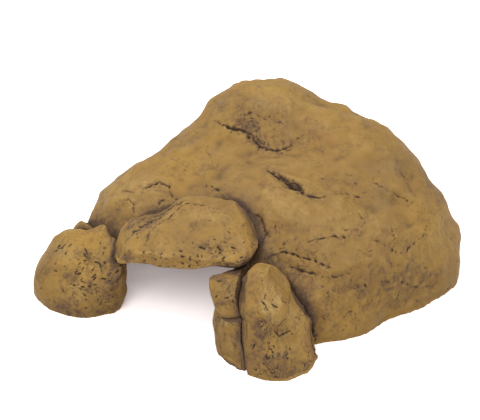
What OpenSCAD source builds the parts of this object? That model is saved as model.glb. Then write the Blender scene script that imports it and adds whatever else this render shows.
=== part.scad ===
// Resin cave ornament: a hollow rock dome with an entrance framed by separately cast stones.
// Every casting is a rounded boulder, worked out as the reach of rays from a point inside it.
// Stones meet each other and the dome on flat seats, with moulded pegs in blind sockets.

/* [Overall size] */
// Length from the left stones to the right end of the dome
cave_length = 278; // [210:1:360]
// Depth from the entrance stones to the back of the dome
cave_depth = 234; // [180:1:310]
// Height of the summit above the floor
cave_height = 130; // [100:1:180]

/* [Dome casting] */
// Thickness of the cast wall
wall = 5; // [3:0.5:8]
// Thickness of the wall behind the stone seats
portal_wall = 11; // [9:0.5:14]

/* [Entrance] */
// Width of the opening through the dome wall
entrance_width = 100; // [70:1:110]
// Height of the opening through the dome wall
entrance_height = 48; // [38:1:52]
// Radius of the opening's upper corners
entrance_corner = 16; // [8:1:30]

/* [Pegged joints] */
// Diameter of the moulded pegs
peg_d = 6; // [4:0.5:8]
// Length of each peg beyond its seat
peg_length = 5; // [3:0.5:6]
// Clearance around a peg and beyond its end, for adhesive
peg_clearance = 0.3; // [0.1:0.05:0.6]
// Thickness of the adhesive between two seats
bond_line = 0.2; // [0:0.05:0.5]

/* [Surface detail] */
// Points around the dome
dome_around = 96; // [48:8:120]
// Rings up the outside of the dome
dome_rings = 26; // [14:1:32]
// Rings up the inside of the dome
cavity_rings = 13; // [8:1:20]
// Points around each stone
stone_around = 48; // [24:4:56]
// Rings up each stone
stone_rings = 20; // [10:1:24]

/* [Hidden] */
$fn = 48;

ones = [1, 1, 1];
far = 400;          // a ray further out than this meets nothing
dome_blend = 0.16;  // how tightly neighbouring lobes of the dome merge, per mm
stone_blend = 0.4;  // the same for the lobes of a stone
edge_blend = 0.5;   // how tightly a worn flat rounds into the lobes
peg_root = 4;       // how far a peg's root is cast into its own stone

// ---- Vectors ----
function times(a, b) = [a.x * b.x, a.y * b.y, a.z * b.z];
function over(a, b) = [a.x / b.x, a.y / b.y, a.z / b.z];
function unit(v) = v / norm(v);
function facing(az, el) = [cos(el) * cos(az), cos(el) * sin(az), sin(el)];
function unturn(v, turn) =
    let (x = v.x * cos(turn.x) + v.y * sin(turn.x))
    [x * cos(turn.y) - v.z * sin(turn.y),
     v.y * cos(turn.x) - v.x * sin(turn.x),
     x * sin(turn.y) + v.z * cos(turn.y)];
function soft_max(v, k) =
    let (m = max(v)) m + ln([for (r = v) exp((r - m) * k)] * [for (r = v) 1]) / k;
function soft_min(v, k) = -soft_max(-v, k);

// ---- Boulders ----
// A lobe is [centre, radii, [yaw, pitch]]. A flat or a seat is a plane, [point, azimuth, elevation],
// whose normal faces away from the stone: a flat rounds into the lobes, and a seat is a clean cut.
// An inset is a thickness along X, Y and Z, by which a surface is drawn in.
function lobe_reach(ray, from, lobe, inset) =
    let (radii = lobe[1] - inset,
         r = over(unturn(ray, lobe[2]), radii),
         c = over(unturn(lobe[0] - from, lobe[2]), radii),
         a = r * r, b = r * c, d = b * b - a * (c * c - 1))
    d > 0 ? max(0, (b + sqrt(d)) / a) : 0;
function plane_reach(ray, from, plane, inset) =
    let (n = facing(plane[1], plane[2]), q = ray * n,
         depth = (plane[0] - from) * n - norm(times(inset, n)))
    q > 0.001 ? min(far, max(0, depth) / q) : far;
function reach(ray, stone, inset) =
    let (body = soft_max([for (l = stone[1]) lobe_reach(ray, stone[0], l, inset)], stone[3]),
         flats = [for (f = stone[2]) plane_reach(ray, stone[0], f, inset)])
    soft_min(concat([body], flats), edge_blend);
function point_at(az, el, stone, inset = [0, 0, 0]) =
    let (ray = facing(az, el)) stone[0] + ray * reach(ray, stone, inset);
// Rings of points from one elevation up to another, which the last ring stops short of.
function rings(from_el, to_el, count, around, stone, inset = [0, 0, 0]) =
    [for (i = [0 : count - 1])
        let (el = from_el + (to_el - from_el) * i / count)
        [for (j = [0 : around - 1]) point_at(360 * j / around, el, stone, inset)]];
function reversed(plane) = [plane[0], plane[1] + 180, -plane[2]];

// ---- Seats, as drawn: each faces from the stone that carries to the stone it carries ----
rear_seat = [[-80, -77, 20], -116, 0];          // dome to left rear stone
left_seat = [[-86, -88, 20], -80, 10];          // rear stone to left pillar
right_seat = [[80, -85, 24], -80, 15];          // dome to right pillar and inner stone
lintel_seat = [[6, -68, 62], -86, 38];          // dome to lintel
left_bearing = [[-43, -105, 47], -20, 60];      // left pillar to lintel
right_bearing = [[50, -92, 57], 180, 62];       // right stones to lintel
cleft_seat = [[64, -112, 20], 198, -8];         // right pillar to inner stone
wedge_seat = [[54, -116, 38], 250, 66];         // inner stone to wedge stone

// ---- Stones, as drawn: [ray origin, lobes, flats, blend] ----
dome = [
    [25, 0, 0],
    [[[40, 0, 14], [102, 90, 84], [0, 0]],    // main mass
     [[0, 44, 60], [62, 54, 69], [0, 0]],     // summit
     [[58, 44, 46], [76, 56, 71], [-14, -6]], // ridge to the right
     [[-44, -34, 8], [67, 63, 74], [0, 0]],   // left shoulder
     [[-22, 12, 26], [61, 60, 75], [0, 0]],   // left back
     [[98, 34, 10], [64, 62, 72], [0, 0]],    // right back corner
     [[60, -34, 18], [66, 60, 56], [0, 0]]],  // right front belly
    [[[148, -4, 0], -24, 5],                  // worn flats at the foot of the right side
     [[126, -54, 0], -38, 10]],
    dome_blend
];
left_pillar = [
    [-80, -106, 0],
    [[[-78, -104, 10], [36, 28, 44], [0, 0]],
     [[-63, -103, 27], [31, 25, 31], [0, 0]],
     [[-60, -98, 33], [22, 20, 27], [0, 0]]],
    [[[-101, -112, 30], 205, 30],
     [[-84, -122, 40], -75, 50]],
    stone_blend
];
left_rear = [
    [-84, -84, 0],
    [[[-86, -84, 12], [27, 26, 37], [0, 0]],
     [[-70, -82, 18], [28, 26, 32], [0, 0]]],
    [[[-104, -88, 25], 195, 32]],
    stone_blend
];
right_pillar = [
    [84, -106, 0],
    [[[84, -104, 8], [30, 36, 44], [10, 0]],
     [[72, -100, 26], [24, 28, 42], [10, 0]]],
    [[[94, -96, 36], 20, 30],
     [[84, -130, 0], -86, 8],
     [[104, -108, 0], -5, 14],
     [[101, -122, 0], -50, 12]],
    stone_blend
];
right_inner = [
    [58, -106, 0],
    [[[61, -104, 14], [24, 27, 50], [0, 0]]],
    [[[58, -128, 0], 262, 4],
     [[45, -121, 10], 228, 4]],
    stone_blend
];
right_wedge = [
    [52, -104, 48],
    [[[54, -102, 44], [19, 24, 22], [0, 0]]],
    [],
    stone_blend
];
lintel = [
    [0, -88, 62],
    [[[8, -84, 62], [58, 36, 34], [14, -5]],
     [[-22, -96, 56], [30, 24, 18], [20, -10]]],
    [[[8, -95, 51], 0, -84],
     [[-23, -90, 68], 195, 54],
     [[14, -72, 80], -80, 66],
     [[8, -111, 58], -76, 12],
     [[57, -84, 68], 15, 5],
     [[42, -74, 76], 20, 45]],
    stone_blend
];

// ---- Points of each casting ----
// A standing stone's rings start at the floor, and a hanging one's just above its lowest point.
function standing(stone) = rings(0, 90, stone_rings, stone_around, stone);
function hanging(stone) = rings(-90 + 180 / stone_rings, 90, stone_rings - 1, stone_around, stone);
dome_outside = rings(0, 90, dome_rings, dome_around, dome);

// ---- The layout is stretched to the size asked for, with the origin under its middle ----
drawn = [for (rows = concat(dome_outside, standing(left_pillar), standing(left_rear),
                            standing(right_pillar), standing(right_inner), hanging(lintel)))
            for (p = rows) p];
low = [for (axis = [0 : 2]) min([for (p = drawn) p[axis]])];
high = [for (axis = [0 : 2]) max([for (p = drawn) p[axis]])];
stretch = over([cave_length, cave_depth, cave_height], high - low);
middle = [(low.x + high.x) / 2, (low.y + high.y) / 2, 0];
function placed(p) = times(stretch, p - middle);
function thickness(t) = over(t * ones, stretch);

// ---- Meshes ----
// The faces of a wall of triangles that joins each ring of points to the next, seen from outside.
function side_faces(first, count, around) =
    [for (i = [0 : count - 2], j = [0 : around - 1], half = [0, 1])
        let (row = first + i * around, a = row + j, d = row + (j + 1) % around)
        half == 0 ? [a, a + around, d + around] : [a, d + around, d]];
function cap_faces(first, around, tip) =
    [for (j = [0 : around - 1]) [first + j, tip, first + (j + 1) % around]];
function inside_out(faces) = [for (f = faces) [f[2], f[1], f[0]]];
function all_placed(rows, tips) = [for (p = concat([for (r = rows) for (p = r) p], tips)) placed(p)];

module boulder(rows, bottom, top) {
    around = len(rows[0]);
    count = len(rows) * around;
    polyhedron(
        points = all_placed(rows, [bottom, top]),
        faces = concat(side_faces(0, len(rows), around), cap_faces(count - around, around, count + 1),
                       inside_out(cap_faces(0, around, count))));
}
module standing_stone(stone) boulder(standing(stone), stone[0], point_at(0, 90, stone));
module hanging_stone(stone) boulder(hanging(stone), point_at(0, -90, stone), point_at(0, 90, stone));

// The chamber is the dome drawn in by the wall, and it stops short of the seats by the portal wall.
function drawn_back(plane, t) =
    let (n = facing(plane[1], plane[2])) [plane[0] - n * norm(times(thickness(t), n)), plane[1], plane[2]];
chamber_flats = [for (seat = [rear_seat, right_seat, lintel_seat]) drawn_back(seat, portal_wall - wall)];
chamber = [dome[0], dome[1], concat(dome[2], chamber_flats), dome[3]];
module hollow_dome() {
    skin = thickness(wall);
    inside = rings(0, 90, cavity_rings, dome_around, chamber, skin);
    outer = dome_rings * dome_around;
    both = outer + cavity_rings * dome_around;
    rim = [for (j = [0 : dome_around - 1], half = [0, 1])
        let (k = (j + 1) % dome_around)
        half == 0 ? [j, k, outer + k] : [j, outer + k, outer + j]];
    polyhedron(
        points = all_placed(concat(dome_outside, inside),
                            [point_at(0, 90, dome), point_at(0, 90, chamber, skin)]),
        faces = concat(side_faces(0, dome_rings, dome_around),
                       cap_faces(outer - dome_around, dome_around, both),
                       inside_out(side_faces(outer, cavity_rings, dome_around)),
                       inside_out(cap_faces(both - dome_around, dome_around, both + 1)),
                       rim));
}

// The opening through the front of the dome wall, between the seats.
entrance_middle = [-7, -50];    // as drawn: the middle of its width, and its inner end
entrance_run = 80;              // as drawn: far enough to pass the front of the wall
module entrance_cut() {
    straight = entrance_height - entrance_corner;
    translate(placed([entrance_middle.x, entrance_middle.y, 0]))
        rotate([90, 0, 0]) linear_extrude(entrance_run * stretch.y) {
            translate([-entrance_width / 2, -1]) square([entrance_width, straight + 1]);
            translate([entrance_corner - entrance_width / 2, -1])
                square([entrance_width - 2 * entrance_corner, entrance_height + 1]);
            for (side = [-1, 1])
                translate([side * (entrance_width / 2 - entrance_corner), straight]) circle(entrance_corner);
        }
}

// ---- Pegged joints: a spot on a seat is [across, up] from the seat's point, as drawn ----
module on_seat(seat, spot) {
    across = [-sin(seat[1]), cos(seat[1]), 0];
    up = [-sin(seat[2]) * cos(seat[1]), -sin(seat[2]) * sin(seat[1]), cos(seat[2])];
    n = unit(over(facing(seat[1], seat[2]), stretch));
    translate(placed(seat[0] + across * spot.x + up * spot.y))
        rotate([0, acos(n.z), atan2(n.y, n.x)]) children();
}
// What lies past a seat, and past the adhesive on it where the seat is the carried stone's.
module past(seat, bond = 0) on_seat(seat, [0, 0]) translate([-far / 2, -far / 2, -bond]) cube(far);
// The carried stone's pegs, and the sockets they fill in the stone that carries it.
module pegs(seat, spots) for (spot = spots)
    on_seat(seat, spot) translate([0, 0, -peg_length]) cylinder(d = peg_d, h = peg_length + bond_line + peg_root);
module sockets(seat, spots) for (spot = spots)
    on_seat(seat, spot) translate([0, 0, -peg_length - peg_clearance])
        cylinder(d = peg_d + 2 * peg_clearance, h = peg_length + peg_clearance + 1);

rear_spots = [[-10, 0], [3, 0]];
left_spots = [[0, -6], [0, 12]];
right_spots = [[-4, -8], [-4, 14]];
lintel_spots = [[-18, 2], [20, 2]];
left_bearing_spots = [[0, -3]];
cleft_spots = [[0, -4]];
wedge_spots = [[0, 0]];

// ---- Castings ----
module cave_shell() color([0.66, 0.53, 0.31]) difference() {
    hollow_dome();
    past(rear_seat);
    past(right_seat);
    past(lintel_seat);
    entrance_cut();
    sockets(rear_seat, rear_spots);
    sockets(right_seat, right_spots);
    sockets(lintel_seat, lintel_spots);
}
module left_rear_rock() color([0.58, 0.44, 0.29]) {
    difference() {
        standing_stone(left_rear);
        past(reversed(rear_seat), bond_line);
        past(left_seat);
        sockets(left_seat, left_spots);
    }
    pegs(rear_seat, rear_spots);
}
module left_pillar_rock() color([0.64, 0.52, 0.33]) {
    difference() {
        standing_stone(left_pillar);
        past(reversed(left_seat), bond_line);
        past(reversed(rear_seat), bond_line);
        past(left_bearing);
        sockets(left_bearing, left_bearing_spots);
    }
    pegs(left_seat, left_spots);
}
module right_pillar_rock() color([0.65, 0.52, 0.32]) {
    difference() {
        standing_stone(right_pillar);
        past(reversed(right_seat), bond_line);
        past(right_bearing);
        past(cleft_seat);
        sockets(cleft_seat, cleft_spots);
    }
    pegs(right_seat, right_spots);
}
module right_inner_rock() color([0.6, 0.47, 0.3]) {
    difference() {
        standing_stone(right_inner);
        past(reversed(right_seat), bond_line);
        past(right_bearing);
        past(reversed(cleft_seat), bond_line);
        past(wedge_seat);
        sockets(wedge_seat, wedge_spots);
    }
    pegs(cleft_seat, cleft_spots);
}
module right_wedge_rock() color([0.58, 0.45, 0.28]) {
    difference() {
        hanging_stone(right_wedge);
        past(reversed(right_seat), bond_line);
        past(right_bearing);
        past(reversed(cleft_seat), bond_line);
        past(reversed(wedge_seat), bond_line);
    }
    pegs(wedge_seat, wedge_spots);
}
module lintel_rock() color([0.67, 0.53, 0.33]) {
    difference() {
        hanging_stone(lintel);
        past(reversed(lintel_seat), bond_line);
        past(reversed(left_bearing), bond_line);
        past(reversed(right_bearing), bond_line);
    }
    pegs(lintel_seat, lintel_spots);
    pegs(left_bearing, left_bearing_spots);
}

cave_shell();
lintel_rock();
left_pillar_rock();
left_rear_rock();
right_pillar_rock();
right_inner_rock();
right_wedge_rock();
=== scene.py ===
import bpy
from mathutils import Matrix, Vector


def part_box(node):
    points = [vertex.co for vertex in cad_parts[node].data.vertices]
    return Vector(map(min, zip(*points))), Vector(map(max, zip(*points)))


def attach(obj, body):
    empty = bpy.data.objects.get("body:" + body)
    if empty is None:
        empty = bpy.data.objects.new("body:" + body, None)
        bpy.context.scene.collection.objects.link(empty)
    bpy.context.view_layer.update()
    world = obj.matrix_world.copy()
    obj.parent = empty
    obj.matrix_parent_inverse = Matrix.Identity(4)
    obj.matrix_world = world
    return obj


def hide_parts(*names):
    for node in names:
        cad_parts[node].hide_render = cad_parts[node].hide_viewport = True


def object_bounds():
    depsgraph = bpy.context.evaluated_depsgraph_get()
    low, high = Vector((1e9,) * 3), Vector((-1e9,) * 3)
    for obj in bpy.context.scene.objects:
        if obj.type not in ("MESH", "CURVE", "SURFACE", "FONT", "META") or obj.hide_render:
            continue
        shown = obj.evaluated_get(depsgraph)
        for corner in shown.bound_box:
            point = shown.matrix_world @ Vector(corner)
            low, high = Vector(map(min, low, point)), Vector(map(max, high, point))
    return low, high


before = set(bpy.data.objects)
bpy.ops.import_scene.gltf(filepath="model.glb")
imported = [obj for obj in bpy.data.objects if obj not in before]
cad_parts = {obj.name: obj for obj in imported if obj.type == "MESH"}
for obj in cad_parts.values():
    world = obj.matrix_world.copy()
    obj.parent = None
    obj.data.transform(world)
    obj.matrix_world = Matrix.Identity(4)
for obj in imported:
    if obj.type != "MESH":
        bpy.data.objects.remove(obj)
cadBounds = [list(corner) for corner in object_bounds()]

import math
import random

import bmesh
import bpy
import numpy as np
from mathutils import Vector, kdtree, noise
from mathutils.bvhtree import BVHTree

mm = 0.001
noise.seed_set(4)                # left alone, noise_vector is seeded from the clock


def outward(azimuth, elevation):  # azimuth 0 is straight out of the entrance
    turn, lift = math.radians(azimuth), math.radians(elevation)
    return Vector((math.sin(turn) * math.cos(lift), -math.cos(turn) * math.cos(lift), math.sin(lift)))


# Where the sculptor works from. Marks are laid out in millimetres on a flat pane
# through the middle of the cave: first to the right, then up.
bench = {"aim": (-24.5, 15.1, 40.0), "distance": 860.0, "lens": 85.0, "sensor": 36.0}


class Pane:
    def __init__(self, azimuth, elevation):
        turn = math.radians(azimuth)
        self.aim = Vector(bench["aim"]) * mm
        self.back = outward(azimuth, elevation)
        self.right = Vector((math.cos(turn), math.sin(turn), 0.0))
        self.up = self.back.cross(self.right)
        self.distance = bench["distance"] * mm
        self.eye = self.aim + self.back * self.distance

    def touch(self, skin, across, height):
        spot = self.aim + self.right * across * mm + self.up * height * mm
        return skin.ray_cast(self.eye, (spot - self.eye).normalized())[0]

    def flatten(self, places):
        gap = places - np.array(self.eye)
        spread = self.distance / -(gap @ np.array(self.back)) / mm
        return gap @ np.array(self.right) * spread, gap @ np.array(self.up) * spread

    def faced(self, places, facing):
        toEye = np.array(self.eye) - places
        toEye /= np.linalg.norm(toEye, axis=1)[:, None]
        return (toEye * facing).sum(1)


front = Pane(28, 30)


# Camera, floor and light
studio = {
    "skyLight": 0.35, "floorSize": 8.0, "floorBounce": (0.55, 0.535, 0.52, 1),
    # the floor as the eye sees it, brighter than a real one so that the shadow fades quickly
    "floorShown": (2.0, 1.93, 1.93, 1), "floorGlow": 0.25, "glowTint": (1, 0.86, 0.86, 1),
    "glowGain": 0.5, "glowStart": 0.2, "glowEnd": 0.6,
    # azimuth, elevation, watts, width, distance
    "keyLamp": (10, 44, 6.3, 0.8, 1.3), "topLamp": (20, 84, 3.2, 0.9, 1.2),
    "sideLamp": (104, 26, 2.4, 1.0, 1.5), "backLamp": (-110, 34, 3.0, 1.0, 1.5),
}


class Wire:                       # a socket that can be added, multiplied and so on
    def __init__(self, tree, socket):
        self.tree, self.socket = tree, socket

    def sum(self, operation, first, second):
        return self.tree.add("ShaderNodeMath", {"operation": operation}, [first, second])

    def __add__(self, other): return self.sum("ADD", self, other)
    def __radd__(self, other): return self.sum("ADD", other, self)
    def __sub__(self, other): return self.sum("SUBTRACT", self, other)
    def __rsub__(self, other): return self.sum("SUBTRACT", other, self)
    def __mul__(self, other): return self.sum("MULTIPLY", self, other)
    def __rmul__(self, other): return self.sum("MULTIPLY", other, self)


class Finish:                     # the node tree of one material, or of the world
    def __init__(self, owner):
        owner.use_nodes = True
        self.owner, self.nodes, self.links = owner, owner.node_tree.nodes, owner.node_tree.links
        self.nodes.clear()

    def add(self, kind, settings=None, values=(), out=0):
        node = self.nodes.new(kind)
        for key, value in (settings or {}).items():
            setattr(node, key, value)
        for key, value in (values.items() if isinstance(values, dict) else enumerate(values)):
            if isinstance(value, Wire):
                self.links.new(value.socket, node.inputs[key])
            else:
                node.inputs[key].default_value = value
        if node.outputs:
            return Wire(self, node.outputs[out])

    def grain(self, size, detail=3.0, rough=0.5, swirl=0.0):      # size in millimetres
        place = self.add("ShaderNodeTexCoord", out="Object")
        return self.add("ShaderNodeTexNoise", {}, {
            "Vector": place, "Scale": 1 / (size * mm), "Detail": detail, "Roughness": rough, "Distortion": swirl})

    def fade(self, value, start, end):
        return self.add("ShaderNodeMapRange", {"clamp": True}, [value, start, end, 0.0, 1.0])

    def mark(self, name):
        return self.add("ShaderNodeAttribute", {"attribute_name": name}, out="Fac")

    def coat(self, under, over, amount):
        return self.add("ShaderNodeMix", {"data_type": "RGBA"}, {0: amount, 6: under, 7: over}, out=2)


def paint(red, green, blue):      # a paint chip as the eye reads it, made linear
    return tuple(c / 12.92 if c <= 0.04045 else ((c + 0.055) / 1.055) ** 2.4
                 for c in (red / 255, green / 255, blue / 255)) + (1.0,)


def addCamera():
    camera = bpy.data.objects.new("studioCamera", bpy.data.cameras.new("studioCamera"))
    camera.data.lens = bench["lens"]
    camera.data.sensor_width = bench["sensor"]
    camera.data.clip_start, camera.data.clip_end = 0.05, 30
    camera.location = front.eye
    camera.rotation_euler = front.back.to_track_quat("Z", "Y").to_euler()
    bpy.context.scene.collection.objects.link(camera)
    bpy.context.scene.camera = camera


def addLamp(name, azimuth, elevation, power, size, distance):
    lamp = bpy.data.objects.new(name, bpy.data.lights.new(name, "AREA"))
    lamp.data.energy = power
    lamp.data.shape = "DISK"
    lamp.data.size = size
    out = outward(azimuth, elevation)
    lamp.location = front.aim + out * distance
    lamp.rotation_euler = out.to_track_quat("Z", "Y").to_euler()
    bpy.context.scene.collection.objects.link(lamp)


def directRays(card):             # what the eye sees straight, in a gloss or through glass
    camera, gloss, through = (card.add("ShaderNodeLightPath", out="Is %s Ray" % kind)
                              for kind in ("Camera", "Glossy", "Transmission"))
    return camera + gloss + through


def addStudio():
    scene = bpy.context.scene
    scene.view_settings.view_transform = "Standard"
    scene.world = bpy.data.worlds.new("studioSky")
    sky = Finish(scene.world)
    light = sky.add("ShaderNodeBackground", {}, {"Color": (1, 0.99, 1, 1), "Strength": studio["skyLight"]})
    white = sky.add("ShaderNodeBackground", {}, {"Color": (1, 1, 1, 1), "Strength": 1.0})
    either = sky.add("ShaderNodeMixShader", {}, [directRays(sky), light, white])
    sky.add("ShaderNodeOutputWorld", {}, {"Surface": either})

    bm = bmesh.new()
    bmesh.ops.create_grid(bm, x_segments=2, y_segments=2, size=studio["floorSize"] / 2)
    floorMesh = bpy.data.meshes.new("studioFloor")
    bm.to_mesh(floorMesh)
    bm.free()
    floor = bpy.data.objects.new("studioFloor", floorMesh)
    scene.collection.objects.link(floor)
    card = Finish(bpy.data.materials.new("studioCard"))
    fromMiddle = card.add("ShaderNodeVectorMath", {"operation": "LENGTH"}, [
        card.add("ShaderNodeTexCoord", out="Object")], out=1)
    away = card.fade(fromMiddle, studio["glowStart"], studio["glowEnd"])
    shown = card.add("ShaderNodeBsdfDiffuse", {}, {"Color": studio["floorShown"]})
    glow = card.add("ShaderNodeEmission", {}, {
        "Color": studio["glowTint"], "Strength": away * studio["glowGain"] + studio["floorGlow"]})
    bounce = card.add("ShaderNodeBsdfDiffuse", {}, {"Color": studio["floorBounce"]})
    both = card.add("ShaderNodeAddShader", {}, [shown, glow])
    card.add("ShaderNodeOutputMaterial", {}, {
        "Surface": card.add("ShaderNodeMixShader", {}, [directRays(card), bounce, both])})
    floorMesh.materials.append(card.owner)

    for name in ("keyLamp", "topLamp", "sideLamp", "backLamp"):
        addLamp(name, *studio[name])


addCamera()
addStudio()
print("studio ready")


# Painted resin. Marks worked out on each rock come as attributes: groove, wash, hollow, shade, glow, bare. The
# wash and hollow marks are dark wash paint with painted shade, shade is painted shade and glow is painted
# highlight.
resin = {
    "ochre": paint(168, 132, 76), "gold": paint(186, 146, 76), "clay": paint(166, 118, 76),
    "stone": paint(152, 126, 90), "umber": paint(112, 90, 68), "mauve": paint(90, 72, 68),
    "pitch": paint(62, 47, 38), "cream": paint(206, 172, 108), "raw": paint(150, 134, 108),
}


def paintedResin(name, warm, speckle):
    rock = Finish(bpy.data.materials.new(name))
    broad = rock.grain(62, 2)
    cloud = rock.grain(24, 3, 0.55, 0.4)
    mottle = rock.grain(9, 4, 0.6, 0.6)
    grit = rock.grain(2.6, 4, 0.65, 0.3)
    dust = rock.grain(0.9, 2)

    colour = rock.coat(resin["ochre"], resin["gold"], rock.fade(broad + warm, 0.42, 0.72))
    colour = rock.coat(colour, resin["stone"], rock.fade(cloud, 0.54, 0.74) * 0.55)
    colour = rock.coat(colour, resin["clay"], rock.fade(rock.grain(17, 3, 0.6, 0.5), 0.55, 0.72) * 0.42)
    colour = rock.coat(colour, resin["gold"], rock.fade(mottle, 0.55, 0.75) * 0.45)
    colour = rock.coat(colour, resin["umber"], rock.fade(mottle * 0.55 + grit * 0.45, 0.48, 0.34) * 0.5)
    # drifts of fine dark specks where the wash caught in the casting
    drift = rock.fade(rock.grain(21, 2, 0.5, 0.3), 0.62 - speckle, 0.85 - speckle)
    fine = rock.fade(grit * 0.55 + dust * 0.45, 0.47, 0.37)
    colour = rock.coat(colour, resin["umber"], drift * fine * 0.85)
    # short wandering scratches
    thread = rock.add("ShaderNodeMath", {"operation": "ABSOLUTE"}, [rock.grain(13, 3, 0.62, 1.1) - 0.5])
    worn = rock.fade(rock.grain(33, 2), 0.48, 0.63)
    scratch = rock.fade(thread, 0.011, 0.002) * worn
    colour = rock.coat(colour, resin["umber"], scratch * 0.7)

    hollow, groove, washAndShade = rock.mark("hollow"), rock.mark("groove"), rock.mark("washAndShade")
    # painted highlight and dry-brushed cream: lighter on ridges and in set patches
    worked = rock.fade(mottle * 0.5 + grit * 0.5, 0.32, 0.62)
    colour = rock.coat(colour, resin["cream"], rock.mark("glow") * worked)
    # painted shade: mauve in set patches, under the lintel and where rocks meet, with stain along grooves
    broken = rock.fade(mottle * 0.45 + grit * 0.55, 0.62, 0.38)
    colour = rock.coat(colour, resin["mauve"], rock.mark("shade") * (broken * 0.8 + 0.17))
    # dark wash paint and painted shade: mauve where rocks are close or shut in, near black where most shut in
    colour = rock.coat(colour, resin["mauve"], washAndShade * (broken * 0.45 + 0.5))
    colour = rock.coat(colour, resin["pitch"], rock.fade(washAndShade, 0.55, 1.0) * 0.45)
    # dark wash paint and painted shade in hollows: umber where the surface is concave
    colour = rock.coat(colour, resin["umber"], rock.fade(hollow, 0.1, 0.8) * 0.8)
    colour = rock.coat(colour, resin["pitch"], rock.fade(groove + grit * 0.3 - 0.15, 0.2, 0.85) * 0.92)
    colour = rock.coat(colour, resin["raw"], rock.mark("bare"))

    skin = rock.add("ShaderNodeBump", {}, {
        "Strength": 0.75, "Distance": 0.7 * mm, "Height": grit * 0.7 + dust * 0.3})
    skin = rock.add("ShaderNodeBump", {"invert": True}, {
        "Strength": 0.5, "Distance": 0.4 * mm, "Height": scratch, "Normal": skin})
    body = rock.add("ShaderNodeBsdfPrincipled", {}, {
        "Base Color": colour, "Roughness": rock.fade(mottle, 0.1, 0.9) * 0.22 + 0.5, "Normal": skin,
        "Specular IOR Level": 0.12})
    rock.add("ShaderNodeOutputMaterial", {}, {"Surface": body})
    return rock.owner


domePaint = paintedResin("domePaint", 0.0, 0.0)
stonePaint = paintedResin("stonePaint", 0.05, 0.1)


# Shaping. A rock starts from its CAD node, is given an even skin, and is then worked over.
chisel = {
    "footHeight": 0.4, "lineStep": 0.6, "strollStep": 0.7, "thinnest": 0.3,      # millimetres
    "breaks": -0.32, "chips": 0.28, "chipThrow": 7, "crumble": 0.7,              # gaps and chips along a crack
    "markReach": 4.5, "crowdReach": 16.0, "shutReach": 17,                       # millimetres
    "flankTurn": -0.12,            # how far round an outside face may turn from the middle
}


def evenSkin(node, size):
    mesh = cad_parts[node].data.copy()
    bm = bmesh.new()
    bm.from_mesh(mesh)
    bmesh.ops.remove_doubles(bm, verts=bm.verts, dist=0.002 * mm)
    bm.to_mesh(mesh)
    bm.free()
    lump = bpy.data.objects.new(node + "Lump", mesh)
    bpy.context.scene.collection.objects.link(lump)
    remesh = lump.modifiers.new("skin", "REMESH")
    remesh.mode = "VOXEL"
    remesh.voxel_size = size * mm
    even = bpy.data.meshes.new_from_object(lump.evaluated_get(bpy.context.evaluated_depsgraph_get()))
    bpy.data.objects.remove(lump)
    bm = bmesh.new()
    bm.from_mesh(even)
    return bm


def soften(bm, rounds):           # the flat foot keeps its height
    level = chisel["footHeight"] * mm
    for _ in range(rounds):
        foot = [v for v in bm.verts if v.co.z < level]
        rest = [v for v in bm.verts if v.co.z >= level]
        bmesh.ops.smooth_vert(bm, verts=rest, factor=0.5, use_axis_x=True, use_axis_y=True, use_axis_z=True)
        bmesh.ops.smooth_vert(bm, verts=foot, factor=0.5, use_axis_x=True, use_axis_y=True, use_axis_z=False)


def splitFaces(bm, chosen):
    for f in bm.faces:
        f.tag = False
    for f in chosen:
        f.tag = True
    edges = [e for e in bm.edges if any(f.tag for f in e.link_faces)]
    bmesh.ops.subdivide_edges(bm, edges=edges, cuts=1, use_grid_fill=True)


def isOuter(place, facing, heart):
    return (place - heart).normalized().dot(facing) > chisel["flankTurn"]


def wobble(x, y, z):
    return noise.noise(Vector((x, y, z)))


def lineMarks(skin, points, width, depth, seed):
    marks, travelled = [], 0.0
    spans = [math.dist(a, b) for a, b in zip(points, points[1:])]
    total = sum(spans)
    crumble, thinnest = chisel["crumble"], chisel["thinnest"]
    for (a, b), span in zip(zip(points, points[1:]), spans):
        steps = max(2, round(span / chisel["lineStep"]))
        for i in range(steps):
            along = travelled + span * i / steps
            sway = wobble(along / 2.6, seed, 0) * 0.75 + wobble(along / 7, seed, 9) * 0.8
            u = a[0] + (b[0] - a[0]) * i / steps - (b[1] - a[1]) / max(span, 0.1) * sway
            v = a[1] + (b[1] - a[1]) * i / steps + (b[0] - a[0]) / max(span, 0.1) * sway
            crumb = noise.noise_vector(Vector((along / 1.1, seed, 21)))
            place = front.touch(skin, u + crumb.x * crumble, v + crumb.y * crumble)
            if place is None or wobble(along / 2.4, seed, 33) < chisel["breaks"]:
                continue
            taper = min(1.0, 0.35 + 0.65 * min(along, total - along) / (0.18 * total + 0.1))
            swell = 0.8 + 0.75 * wobble(along / 3.4, seed, 4) + 0.5 * wobble(along / 1.2, seed, 5)
            marks.append((place, max(thinnest, width * taper * swell), depth * taper * max(0.35, swell)))
            if crumb.z > chisel["chips"]:
                throw = chisel["chipThrow"]
                place = front.touch(skin, u + crumb.x * throw, v + crumb.y * throw)
                if place is not None:
                    marks.append((place, thinnest + width * 0.35, depth * 0.6))
        travelled += span
    return marks


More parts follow.
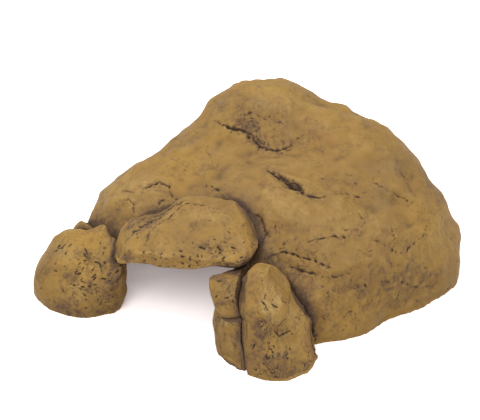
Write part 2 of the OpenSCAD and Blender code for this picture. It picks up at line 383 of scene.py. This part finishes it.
def strollMarks(skin, start, facing, length, width, depth, dice, run):
    heading = Vector((dice.gauss(0, 1), dice.gauss(0, 1), dice.gauss(0, 1))) + Vector(run)
    heading = (heading - facing * heading.dot(facing)).normalized()
    marks, place, seed = [], start, dice.uniform(0, 900)
    stride = chisel["strollStep"]
    steps = max(2, round(length / stride))
    for i in range(steps):
        taper = 1.0
        if steps >= 6:             # a short pit stays as wide as it is
            taper = min(1.0, 0.3 + 3.0 * min(i, steps - 1 - i) / steps)
        swell = 0.8 + 0.7 * wobble(i / 5, seed, 2)
        marks.append((place.copy(), max(chisel["thinnest"], width * taper * swell),
                      depth * taper * max(0.3, swell)))
        side = facing.cross(heading)
        heading = (heading + side * wobble(i / 6, seed, 7) * 0.55).normalized()
        place, facing = skin.find_nearest(place + heading * stride * mm)[:2]
        heading = (heading - facing * heading.dot(facing)).normalized()
    return marks


def patch(places, facing, spots, ragged=None):
    u, v = front.flatten(places)
    seen = np.clip(front.faced(places, facing) * 4, 0, 1)
    total = np.zeros(len(places))
    for across, height, wide, tall, turn, amount in spots:
        c, s = math.cos(math.radians(turn)), math.sin(math.radians(turn))
        x, y = (u - across) * c + (v - height) * s, (v - height) * c - (u - across) * s
        reach = 1 - (x / wide) ** 2 - (y / tall) ** 2
        if ragged is not None:
            reach = np.clip(reach, -1.5, 1) * 0.75 + ragged * 1.1
        total = np.maximum(total, amount * np.clip(reach * 1.2 + 0.1, 0, 1) * seen)
    return total


# One slow bend runs through all the rocks, so straight joints wander and still meet.
bend = {
    "size": 21.0, "push": 2.8, "fine": 9.0, "finePush": 0.9, "edgeFade": 9, "footFade": 8,
    "pulls": [                     # centre, reach and push, in millimetres
        ((-62, -74, 58), 18, (-4.7, 0.3, 4.6)), ((-104, -70, 50), 15, (-1.5, 1.0, -4.5)),   # lintel's back edge
        ((15, -93, 54), 8.5, (-4.4, 0.2, 3.4)),                                             # entrance corner
        ((-58, -87, 19), 10, (-3.1, -1.6, 0)), ((-56, -95, 40), 9, (2.6, 1.4, 0)),          # left pillar
        ((-66, -92, 1), 9, (3.2, -1.6, 0)), ((76, -88, 2), 12, (5.2, -1.6, 0)),             # pillars' feet
    ],
}


def bent(places):
    low, high = np.array(cadBounds[0]), np.array(cadBounds[1])
    room = np.minimum(places - low, high - places)
    room[:, 2] = np.where(places[:, 2] < 0.06, 1, room[:, 2])
    slack = np.clip(room.min(axis=1) / (bend["edgeFade"] * mm), 0, 1)
    foot = np.clip(places[:, 2] / (bend["footFade"] * mm), 0, 1)
    shift = np.zeros_like(places)
    for i, place in enumerate(places):
        p = Vector(place) / mm
        shift[i] = (noise.noise_vector(p / bend["size"]) * bend["push"]
                    + noise.noise_vector(p / bend["fine"]) * bend["finePush"])
    shift[:, 2] *= foot
    for centre, radius, pull in bend["pulls"]:
        near = np.exp(-(np.linalg.norm(places / mm - np.array(centre), axis=1) / radius) ** 2)
        shift += near[:, None] * np.array(pull)
    return places + shift * slack[:, None] * mm


def putMark(mesh, name, values):
    mesh.attributes.new(name, "FLOAT", "POINT").data.foreach_set("value", values.astype(np.float32))


def inZone(zone, spot, seen):     # a zone is "behind", or left, right, low and high on the pane
    if zone == "behind":
        return not seen
    return seen and zone[0] < spot[0] < zone[1] and zone[2] < spot[1] < zone[3]


def scatterMarks(work, bm, skin, heart, dice):
    marks, verts = [], list(bm.verts)
    for count, length, width, depth, zone, *run in work["strolls"]:
        placed = 0
        for _ in range(count * 60):
            v = dice.choice(verts)
            u, h = front.flatten(np.array([v.co]))
            seen = (front.eye - v.co).normalized().dot(v.normal) > 0.1
            if work.get("hollow") and not isOuter(v.co, v.normal, heart) or v.co.z < 3 * mm:
                continue
            if not inZone(zone, (u[0], h[0]), seen):
                continue
            size = dice.uniform(0.4, 1) ** 1.5 * 1.7
            marks += strollMarks(skin, v.co, v.normal, length * dice.uniform(0.4, 1.6),
                                 width * (0.4 + size * 0.6), depth * size, dice, run or (0, 0, 0))
            placed += 1
            if placed == count:
                break
    return marks


def carve(bm, tree, marks):       # groove and stain are for the paint, sink is in millimetres
    groove, sink, stain = (np.zeros(len(bm.verts)) for _ in range(3))
    for i, v in enumerate(bm.verts):
        for place, which, gap in tree.find_range(v.co, chisel["markReach"] * mm):
            width, depth = marks[which][1] * mm, marks[which][2]
            cut = math.exp(-(gap / width) ** 2 * 1.3)
            groove[i] = max(groove[i], cut * min(1, 0.12 + depth))
            sink[i] = max(sink[i], cut * depth)
            stain[i] = max(stain[i], math.exp(-gap / (1.6 * width + 0.4 * mm)) * min(0.8, depth))
    return groove, sink, stain


# the ways that are tried from each place to tell how shut in it is
shutWays = [Vector(way).normalized() for way in (
    (0.3, 0, 1), (-0.6, 0.5, 0.8), (-0.6, -0.6, 0.7), (0.9, 0.5, 0.5),
    (0.8, -0.7, 0.5), (0, 1, 0.35), (0, -1, 0.3), (-1, 0, 0.4))]


def feelNeighbours(bm, node, outer):   # how near they are in millimetres, and how shut in each place is
    others = bmesh.new()
    for name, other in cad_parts.items():
        if name != node:
            others.from_mesh(other.data)
    crowd = BVHTree.FromBMesh(others)
    others.free()
    far = chisel["crowdReach"]
    reach = [crowd.find_nearest(v.co, far * mm)[3] for v in bm.verts]
    reach = np.array([far if gap is None else gap / mm for gap in reach])
    pent = np.zeros(len(bm.verts))
    for i, v in enumerate(bm.verts):
        if outer[i] and reach[i] < 15:
            turn = v.normal.to_track_quat("Z", "Y")
            start = v.co + v.normal * 0.3 * mm
            pent[i] = sum(crowd.ray_cast(start, turn @ way, chisel["shutReach"] * mm)[0] is not None
                          for way in shutWays) / len(shutWays)
    return reach, pent


def roughness(work, bm, outer):   # the slow swelling of a rock, and the tooth on it
    swell, tooth = np.zeros(len(bm.verts)), np.zeros(len(bm.verts))
    offset = Vector((work["seed"], 0, 0))
    for i, v in enumerate(bm.verts):
        if not outer[i]:
            continue
        p = v.co / mm
        swell[i] = noise.noise(p / 19 + offset) * 0.9 + noise.noise(p / 8.5 + offset) * 0.45
        tooth[i] = noise.noise(p / 3.4 + offset) + noise.noise(p / 1.7 + offset) * 0.6
        q = Vector((p.x, p.y, p.z * work["grainRun"]))
        tooth[i] += noise.noise(q / 5.2 + offset) * 0.9
    return swell, tooth


def wornFlats(work, places, heart, outer, dice):   # each takes a thin slice off whatever bulges furthest
    flats = np.zeros(len(places))
    gap = (places - np.array(heart)) / mm
    for _ in range(work["flats"]):
        way = np.array([dice.gauss(0, 1), dice.gauss(0, 1), abs(dice.gauss(0, 0.8))])
        way /= np.linalg.norm(way)
        proud = gap @ way
        flats = np.maximum(flats, proud - proud[outer].max() + dice.uniform(0.5, 1.0) * work["flatDepth"])
    return flats


class Web:                        # the edges of a mesh, for reading its hollows and ridges
    def __init__(self, mesh, count):
        ends = np.zeros(len(mesh.edges) * 2, int)
        mesh.edges.foreach_get("vertices", ends)
        self.a, self.b = ends[::2], ends[1::2]
        self.ways = np.zeros(count)
        np.add.at(self.ways, self.a, 1)
        np.add.at(self.ways, self.b, 1)

    def bow(self, places, facing):     # above nought in a hollow, below nought on a ridge
        gap = places[self.b] - places[self.a]
        length = np.maximum(np.linalg.norm(gap, axis=1), 1e-6)
        total = np.zeros(len(places))
        np.add.at(total, self.a, (gap * facing[self.a]).sum(1) / length)
        np.add.at(total, self.b, -(gap * facing[self.b]).sum(1) / length)
        return total / self.ways

    def spread(self, values, rounds):
        for _ in range(rounds):
            calm = values.copy()
            np.add.at(calm, self.a, values[self.b])
            np.add.at(calm, self.b, values[self.a])
            values = calm / (self.ways + 1)
        return values


def rock(work):
    node, hollow = work["node"], work.get("hollow")
    dice = random.Random(work["seed"])
    heart = sum(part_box(node), Vector()) / 2
    if hollow:
        heart = Vector(hollow)
    bm = evenSkin(node, work["skin"])
    soften(bm, work["smoothing"])
    bm.normal_update()
    chosen = list(bm.faces)
    if hollow:
        chosen = [f for f in chosen if isOuter(f.calc_center_median(), f.normal, heart)]
    splitFaces(bm, chosen)
    soften(bm, 3)
    bm.normal_update()
    skin = BVHTree.FromBMesh(bm)

    # every groove and pit is a row of small round marks, and the mesh is finer near them
    marks = []
    for i, (width, depth, points) in enumerate(work["lines"]):
        marks += lineMarks(skin, points, width, depth, work["seed"] + i * 3.7)
    marks += scatterMarks(work, bm, skin, heart, dice)
    tree = kdtree.KDTree(len(marks))
    for i, mark in enumerate(marks):
        tree.insert(mark[0], i)
    tree.balance()
    splitFaces(bm, [f for f in bm.faces if tree.find(f.calc_center_median())[2] < work["fine"] * mm])
    bm.normal_update()

    places = np.array([v.co for v in bm.verts])
    facing = np.array([v.normal for v in bm.verts])
    outer = np.ones(len(places), bool)
    if hollow:
        outer = np.array([isOuter(v.co, v.normal, heart) for v in bm.verts])
    groove, sink, stain = carve(bm, tree, marks)
    reach, pent = feelNeighbours(bm, node, outer)
    free = np.clip((reach - 0.3) / 2.5, 0, 1) * np.clip(places[:, 2] / (2 * mm), 0, 1)
    swell, tooth = roughness(work, bm, outer)
    ragged = np.array([noise.noise(v.co / (7 * mm)) * 0.6 + noise.noise(v.co / (2.6 * mm)) * 0.5
                       for v in bm.verts])
    rough = patch(places, facing, work["rough"], ragged * 0.6)
    dents = patch(places, facing, work["dents"])
    flats = wornFlats(work, places, heart, outer, dice)

    # how far each place is cut back, in millimetres
    depth = (np.clip(0.7 - swell * work["swell"], 0, 3) + flats
             + (0.35 - tooth * 0.5) * (0.16 * work["tooth"] + rough)) * free
    depth = np.where(outer, depth + (dents + sink) * np.clip(free + 0.15, 0, 1), 0.25 * (reach > 1))
    moved = places - facing * depth[:, None] * mm
    # painted shade and painted highlight in set patches, laid out on the front pane
    shades = patch(moved, facing, work["shade"], ragged)
    paintedHighlights = patch(moved, facing, work["glow"], ragged)
    moved = bent(moved)
    moved[:, 2] = np.maximum(np.where(places[:, 2] < 0.02 * mm, 0, moved[:, 2]), 0)
    for v, spot in zip(bm.verts, moved):
        v.co = spot
    if not hollow:
        bmesh.ops.recalc_face_normals(bm, faces=bm.faces)
    bm.normal_update()

    mesh = bpy.data.meshes.new(work["piece"])
    bm.to_mesh(mesh)
    web = Web(mesh, len(places))
    bow = web.spread(web.bow(moved, np.array([v.normal for v in bm.verts])), 3)
    pent = web.spread(pent, 4)
    bm.free()
    # dark wash paint and painted shade, darker near other rocks and where rays from a place are blocked
    washAndShade = np.clip(np.exp(-reach / work["washShadeReach"]) * 0.8 + np.clip(pent - 0.18, 0, 1) * 1.25, 0, 1)
    outside = outer.astype(float)
    putMark(mesh, "groove", groove * outside)
    # concave places, for dark wash paint and painted shade
    putMark(mesh, "hollow", np.clip(bow * 13, 0, 1) * outside)
    putMark(mesh, "washAndShade", washAndShade * outside)
    # painted shade in set patches, with stain along grooves and a little on rough patches
    putMark(mesh, "shade", np.clip(shades + rough * 0.2 + stain * 0.7, 0, 1) * outside)
    # painted highlight and dry-brushed cream on ridges and in set patches
    putMark(mesh, "glow", np.clip(paintedHighlights + np.clip(-bow * 7, 0, 0.45), 0, 1) * outside)
    putMark(mesh, "bare", 1 - outside)
    mesh.shade_smooth()
    mesh.materials.append(work["finish"])
    piece = bpy.data.objects.new(work["piece"], mesh)
    bpy.context.scene.collection.objects.link(piece)
    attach(piece, "root")
    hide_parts(node)
    print(work["piece"], "has", sum(len(p.vertices) - 2 for p in mesh.polygons), "triangles")


dome = {
    "node": "cave_shell", "piece": "painted_dome", "slot": "painted_resin_dome", "finish": domePaint,
    "hollow": (0, 0.015, 0), "seed": 11, "skin": 3.0, "smoothing": 9, "fine": 1.6, "swell": 1.0,
    "tooth": 1.0, "washShadeReach": 4.2, "flats": 46, "flatDepth": 2.2, "grainRun": 1,
    "lines": [
        # the ledge under the cap, and the tick beside it
        (1.2, 1.7, [(-19, 68), (-14, 64), (-7, 62), (2, 59), (6, 55), (13, 50), (20, 47), (26, 47), (32, 49), (40, 54)]),
        (1.3, 1.5, [(-8, 63), (0, 60), (3, 57)]), (1.0, 1.2, [(-1, 62), (6, 58), (12, 53), (18, 50)]),
        (0.7, 0.5, [(40, 54), (47, 58), (53, 61)]),
        (0.5, 0.5, [(-17, 81), (-14, 76)]),
        (0.6, 0.6, [(6, 70), (9, 64), (14, 58), (17, 52)]),
        # the long gouge
        (1.7, 2.2, [(20, 30), (25, 29), (31, 26), (38, 20), (44, 16), (49, 13)]),
        (1.2, 1.6, [(28, 30), (34, 26), (41, 21), (48, 15)]),
        (1.0, 1.0, [(49, 13), (56, 11), (62, 10), (67, 11)]),
        (0.6, 0.5, [(67, 11), (74, 13), (82, 13), (89, 11)]),
        (0.6, 0.4, [(60, 23), (65, 25)]), (0.6, 0.4, [(71, 22), (76, 23)]), (0.9, 0.7, [(86, 12), (90, 10)]),
        # left shoulder
        (0.7, 0.7, [(-94, 22), (-87, 17), (-80, 12)]),
        (0.8, 0.9, [(-77, 12), (-73, 15), (-68, 17), (-61, 20), (-55, 18), (-53, 14), (-50, 10), (-46, 7)]),
        (0.7, 0.7, [(-58, 12), (-63, 5), (-65, -1)]),
        (0.8, 0.7, [(-89, 8), (-85, 8), (-80, 3), (-80, -2), (-77, -7)]),
        (0.6, 0.5, [(-66, 46), (-58, 50), (-50, 52), (-40, 57), (-30, 60), (-22, 61)]),
        (0.6, 0.6, [(-28, 55), (-24, 44), (-22, 36), (-22, 28)]),
        (1.0, 1.3, [(-24, 21), (-19, 16), (-14, 15)]),
        (1.0, 0.9, [(-14, 15), (-10, 8), (2, -1), (14, -5), (19, -17), (15, -31)]),
        # right flank
        (0.6, 0.6, [(94, 23), (100, 20), (110, 15), (117, 12), (122, 10), (128, 7), (139, 2)]),
        (0.6, 0.6, [(118, 30), (126, 27), (133, 23)]), (0.5, 0.4, [(128, 24), (132, 16), (134, 8)]),
        (0.5, 0.4, [(136, 24), (147, 17), (153, 8), (153, -1), (158, -12), (164, -22), (166, -33)]),
        (0.7, 0.7, [(50, -24), (60, -21), (70, -20), (80, -19), (92, -20)]),
        (0.8, 0.8, [(98, -24), (105, -25), (117, -29), (124, -33), (129, -34)]),
        (0.6, 0.7, [(113, -11), (117, -20), (120, -29)]),
        (0.7, 0.7, [(143, -2), (144, -8), (140, -19), (134, -26), (129, -33), (122, -40)]),
        (1.0, 1.1, [(21, -35), (30, -33), (38, -33), (52, -36), (61, -40), (70, -43)]),
        (1.0, 1.1, [(38, -43), (49, -47), (58, -50)]), (0.7, 0.8, [(68, -48), (75, -51), (86, -49)]),
        (0.7, 0.8, [(103, -57), (119, -55), (127, -57), (139, -58), (151, -58)]),
        (0.6, 0.7, [(121, -60), (120, -71)]), (0.6, 0.5, [(64, -64), (70, -66)]),
        (0.6, 0.4, [(80, -4), (76, -10), (82, -15), (92, -14), (96, -9), (90, -3), (82, -4)]),
        (0.5, 0.4, [(86, -61), (94, -61)]), (0.5, 0.4, [(50, -28), (56, -32), (64, -31)]),
        # the deep fold beside the right-hand stones
        (2.2, 1.4, [(19, -41), (31, -50), (42, -64), (50, -80), (55, -94), (58, -104)]),
    ],
    "strolls": [
        (26, 26, 0.7, 0.7, "behind"), (60, 4, 0.6, 0.5, "behind"),
        (44, 3.0, 0.5, 0.5, (20, 90, -95, -40)), (34, 3.5, 0.5, 0.5, (90, 160, -75, -40)),
        (34, 3.0, 0.5, 0.5, (8, 64, -50, -8)), (30, 2.0, 0.55, 0.6, (-4, 34, 50, 76)),
        (24, 2.5, 0.5, 0.3, (40, 150, -30, 60)), (10, 2.5, 0.5, 0.3, (-100, -20, -10, 60)),
        (12, 8, 0.5, 0.4, (20, 150, -40, 30)),
    ],
    "dents": [
        (19, 63, 30, 15, -14, 1.9), (8, 64, 18, 8, -32, 1.4), (30, 56, 14, 7, 8, 1.2),
        (18, 40, 26, 6, -8, 0.9),
        (42, 84, 3.5, 8, -24, 0.8), (25, 70, 6, 3, 0, 0.6), (90, -8, 11, 6, 0, 0.6),
        (34, 23, 20, 5, -34, 1.3), (1, -2, 26, 7, -38, 1.2), (152, -4, 9, 26, 14, 0.8),
    ],
    "rough": [(4, 66, 15, 11, -25, 1.0), (24, 54, 17, 7, 0, 1.0), (36, 21, 19, 4.5, -34, 1.6),
              (36, -44, 26, 14, -12, 1.0),
              (28, -18, 22, 18, 0, 0.5), (66, -64, 44, 16, 0, 0.5), (128, -52, 28, 12, 8, 0.8),
              (118, -20, 30, 16, 0, 0.3)],
    "shade": [(4, 76, 22, 12, -20, 0.42), (92, -62, 76, 22, 12, 0.45), (54, -30, 34, 16, -8, 0.25),
              (6, -42, 10, 8, 0, 0.8),
              (4, 66, 16, 9, -25, 0.8), (-98, -10, 16, 12, -20, 0.75), (2, -2, 22, 6, -38, 0.35),
              (40, 18, 22, 3.5, -32, 0.6),
              (150, 22, 10, 26, 30, 0.6), (128, -50, 18, 12, 0, 0.55), (124, 34, 7, 7, 0, 0.45),
              (16, 50, 24, 4, -25, 0.35),
              (38, -60, 9, 40, 32, 0.8), (110, -72, 44, 7, 22, 0.4), (66, 20, 9, 6, 0, 0.3)],
    "glow": [(30, 84, 26, 9, -10, 0.35), (30, 2, 24, 12, -20, 0.4), (80, -10, 34, 14, -6, 0.3),
             (155, -22, 14, 28, 0, 0.4),
             (-80, 12, 26, 18, 0, 0.45), (58, 70, 14, 12, -30, 0.3), (36, 38, 30, 6, -8, 0.25)],
}

lintel = {
    "node": "lintel_rock", "piece": "painted_lintel", "slot": "painted_resin_stone", "finish": stonePaint,
    "seed": 23, "skin": 1.7, "smoothing": 7, "fine": 1.3, "swell": 0.8, "tooth": 0.8, "washShadeReach": 4.5,
    "flats": 26, "flatDepth": 2.0, "grainRun": 1,
    "lines": [
        (1.6, 0.9, [(-86, -26), (-80, -20), (-72, -13), (-65, -7), (-57, 0), (-49, 5), (-40, 8)]),
        (0.6, 0.6, [(-74, -31), (-68, -18), (-60, -9), (-52, -3), (-45, 3), (-40, 6), (-30, 4), (-16, 0)]),
        (0.8, 0.9, [(-31, -25), (-26, -27), (-21, -26)]), (0.9, 1.0, [(-19, -24), (-16, -28), (-15, -33)]),
        (0.8, 0.8, [(-8, -26), (-4, -28)]), (0.7, 0.7, [(-90, -37), (-88, -33), (-84, -32)]),
    ],
    "strolls": [(84, 1.7, 0.6, 0.8, (-74, 6, -48, -29)), (26, 1.6, 0.5, 0.55, (-40, 14, -32, -10)),
                (10, 1.5, 0.45, 0.4, (-60, 0, -12, 4)), (26, 2.4, 0.5, 0.5, "behind")],
    "dents": [(-20, -29, 7, 4, 10, 1.3), (-26, -26, 5, 2.5, 0, 0.8), (-68, -9, 24, 3.5, 38, 0.8),
              (-86, -35, 5, 5, 0, 0.7)],
    "rough": [(-20, -30, 18, 7, 8, 0.6), (-40, -40, 44, 7, 2, 0.25)],
    "shade": [(-66, -8, 26, 4.5, 38, 0.8), (-86, -36, 5, 6, 0, 0.8), (-35, -11, 5, 4, 0, 0.35),
              (-2, -40, 20, 5, 18, 0.9),
              (-20, -32, 6, 5, 0, 0.35), (12, -24, 4, 12, 0, 0.5), (-40, -24, 30, 12, 0, 0.18)],
    "glow": [(-30, -4, 26, 8, 4, 0.4), (-18, -34, 12, 5, 10, 0.4), (-58, -30, 20, 8, 20, 0.25)],
}

leftPillar = {
    "node": "left_pillar_rock", "piece": "painted_left_pillar", "slot": "painted_resin_stone",
    "finish": stonePaint,
    "seed": 37, "skin": 1.6, "smoothing": 7, "fine": 1.3, "swell": 0.9, "tooth": 1.2, "washShadeReach": 3.0,
    "flats": 30, "flatDepth": 2.4, "grainRun": 0.7,
    "lines": [(0.8, 0.8, [(-146, -32), (-138, -29), (-131, -26)]),
              (0.7, 0.7, [(-112, -38), (-106, -42), (-104, -50)])],
    "strolls": [(60, 2.0, 0.6, 0.7, (-140, -92, -72, -22)), (40, 1.8, 0.55, 0.6, (-155, -92, -84, -55)),
                (30, 3.0, 0.6, 0.8, (-128, -104, -62, -30)), (30, 2.4, 0.55, 0.6, (-104, -88, -74, -34)),
                (24, 2.4, 0.55, 0.6, "behind")],
    "dents": [(-118, -38, 10, 5, -20, 0.7), (-100, -48, 6, 12, -20, 0.8), (-132, -54, 8, 4, 10, 0.6)],
    "rough": [(-104, -54, 14, 22, 0, 0.35), (-128, -76, 26, 8, -10, 0.4), (-120, -44, 18, 18, 0, 0.25)],
    "shade": [(-98, -50, 11, 20, -12, 1.0), (-120, -78, 36, 10, -8, 0.95), (-149, -42, 7, 18, -8, 0.7),
              (-118, -34, 10, 5, -20, 0.6),
              (-128, -50, 7, 7, 0, 0.55), (-113, -56, 6, 8, 20, 0.6),
              (-108, -14, 16, 4, -18, 0.35)],
    "glow": [(-128, -32, 16, 8, 10, 0.45), (-124, -64, 16, 7, 0, 0.6)],
}

leftRear = {
    "node": "left_rear_rock", "piece": "painted_left_rear", "slot": "painted_resin_stone",
    "finish": stonePaint,
    "seed": 41, "skin": 1.7, "smoothing": 7, "fine": 1.2, "swell": 0.9, "tooth": 1.0, "washShadeReach": 4.0,
    "flats": 24, "flatDepth": 1.6, "grainRun": 0.7,
    "lines": [(0.6, 0.5, [(-136, -8), (-126, -7), (-118, -9)])],
    "strolls": [(34, 2.2, 0.55, 0.6, "behind"), (8, 2.0, 0.5, 0.5, (-155, -100, -50, 0))],
    "dents": [], "rough": [(-130, -12, 24, 8, 0, 0.25)], "shade": [(-130, -16, 30, 7, 0, 0.45)],
    "glow": [(-128, -6, 14, 4, 0, 0.25)],
}

rightPillar = {
    "node": "right_pillar_rock", "piece": "painted_right_pillar", "slot": "painted_resin_stone",
    "finish": stonePaint,
    "seed": 53, "skin": 1.3, "smoothing": 5, "fine": 1.3, "swell": 1.0, "tooth": 1.3, "washShadeReach": 5.0,
    "flats": 34, "flatDepth": 2.4, "grainRun": 0.3,
    "lines": [
        (0.9, 0.9, [(27, -92), (30, -95), (34, -96), (38, -94), (41, -91)]),
        (0.7, 0.6, [(39, -56), (40, -66), (39, -76)]),
        (0.7, 0.6, [(14, -80), (18, -86), (16, -94)]), (0.7, 0.6, [(20, -98), (22, -106), (19, -114)]),
        (0.6, 0.5, [(33, -58), (34, -70)]), (0.8, 0.8, [(18, -116), (24, -122), (34, -124)]),
    ],
    "strolls": [(34, 2.2, 0.55, 0.6, (10, 52, -128, -52)), (36, 2.0, 0.6, 0.7, (10, 56, -130, -104)),
                (22, 9, 0.5, 0.5, (10, 54, -130, -52), 0, 0, -2.5),
                (26, 6, 0.55, 0.6, (10, 26, -130, -60), 0, 0, -2.5),
                (26, 2.4, 0.55, 0.6, "behind")],
    "dents": [(22, -100, 6, 16, 8, 1.0), (46, -64, 4, 14, 30, 0.7), (32, -93, 9, 3, 0, 0.8)],
    "rough": [(28, -116, 26, 14, 0, 0.5), (16, -84, 8, 30, 0, 0.45)],
    "shade": [(30, -118, 28, 10, -6, 0.85), (13, -94, 6, 36, 4, 0.95), (46, -62, 4, 16, 34, 0.35),
              (54, -104, 5, 20, 0, 0.5),
              (24, -84, 6, 12, -20, 0.45)],
    "glow": [(24, -70, 9, 16, 6, 1.0), (43, -82, 8, 18, 12, 0.9), (36, -106, 12, 7, 0, 0.4)],
}

rightInner = {
    "node": "right_inner_rock", "piece": "painted_right_inner", "slot": "painted_resin_stone",
    "finish": stonePaint,
    "seed": 61, "skin": 1.2, "smoothing": 5, "fine": 1.2, "swell": 1.0, "tooth": 1.4, "washShadeReach": 4.5,
    "flats": 26, "flatDepth": 2.2, "grainRun": 0.3,
    "lines": [(0.9, 0.9, [(3, -76), (1, -84), (3, -94), (2, -103)]),
              (0.7, 0.6, [(-8, -92), (-6, -104), (-5, -114)]),
              (0.7, 0.6, [(-13, -86), (-12, -98)]), (0.8, 0.8, [(8, -96), (8, -108), (6, -118)])],
    "strolls": [(22, 2.4, 0.55, 0.6, (-22, 14, -126, -70)),
                (26, 8, 0.5, 0.6, (-22, 14, -126, -70), 0, 0, -2.5),
                (16, 2.2, 0.5, 0.5, "behind")],
    "dents": [(1, -91, 4, 12, 4, 1.1)],
    "rough": [(2, -108, 12, 14, 0, 0.5), (-8, -96, 8, 24, 0, 0.3)],
    "shade": [(1, -92, 5, 16, 4, 1.0), (6, -110, 7, 16, 0, 0.9), (-18, -96, 4, 26, 0, 0.6),
              (-6, -72, 10, 3, 10, 0.7)],
    "glow": [(-8, -82, 6, 8, 0, 0.8), (-7, -102, 4, 10, 0, 0.5)],
}

rightWedge = {
    "node": "right_wedge_rock", "piece": "painted_right_wedge", "slot": "painted_resin_stone",
    "finish": stonePaint,
    "seed": 71, "skin": 1.1, "smoothing": 4, "fine": 1.1, "swell": 0.7, "tooth": 1.4, "washShadeReach": 4.2,
    "flats": 22, "flatDepth": 1.6, "grainRun": 0.6,
    "lines": [(0.8, 0.7, [(-14, -60), (-9, -56), (-4, -55)]), (0.7, 0.6, [(-16, -66), (-8, -66), (-3, -62)])],
    "strolls": [(22, 2.0, 0.55, 0.6, (-22, 6, -74, -44)),
                (10, 6, 0.55, 0.6, (-22, 6, -74, -44), 1.5, 0.8, -1),
                (10, 2.0, 0.5, 0.5, "behind")],
    "dents": [(-9, -60, 5, 4, 20, 0.5)], "rough": [(-10, -60, 14, 14, 0, 0.35)],
    "shade": [(-10, -70, 12, 3, 8, 0.8), (-16, -52, 6, 8, 0, 0.8), (-6, -47, 10, 4, 10, 0.8),
              (-12, -62, 4, 5, 0, 0.5)],
    "glow": [(2, -56, 2.5, 9, -14, 0.6), (-10, -62, 5, 4, 0, 0.25)],
}

for work in (dome, lintel, leftPillar, leftRear, rightPillar, rightInner, rightWedge):
    rock(work)
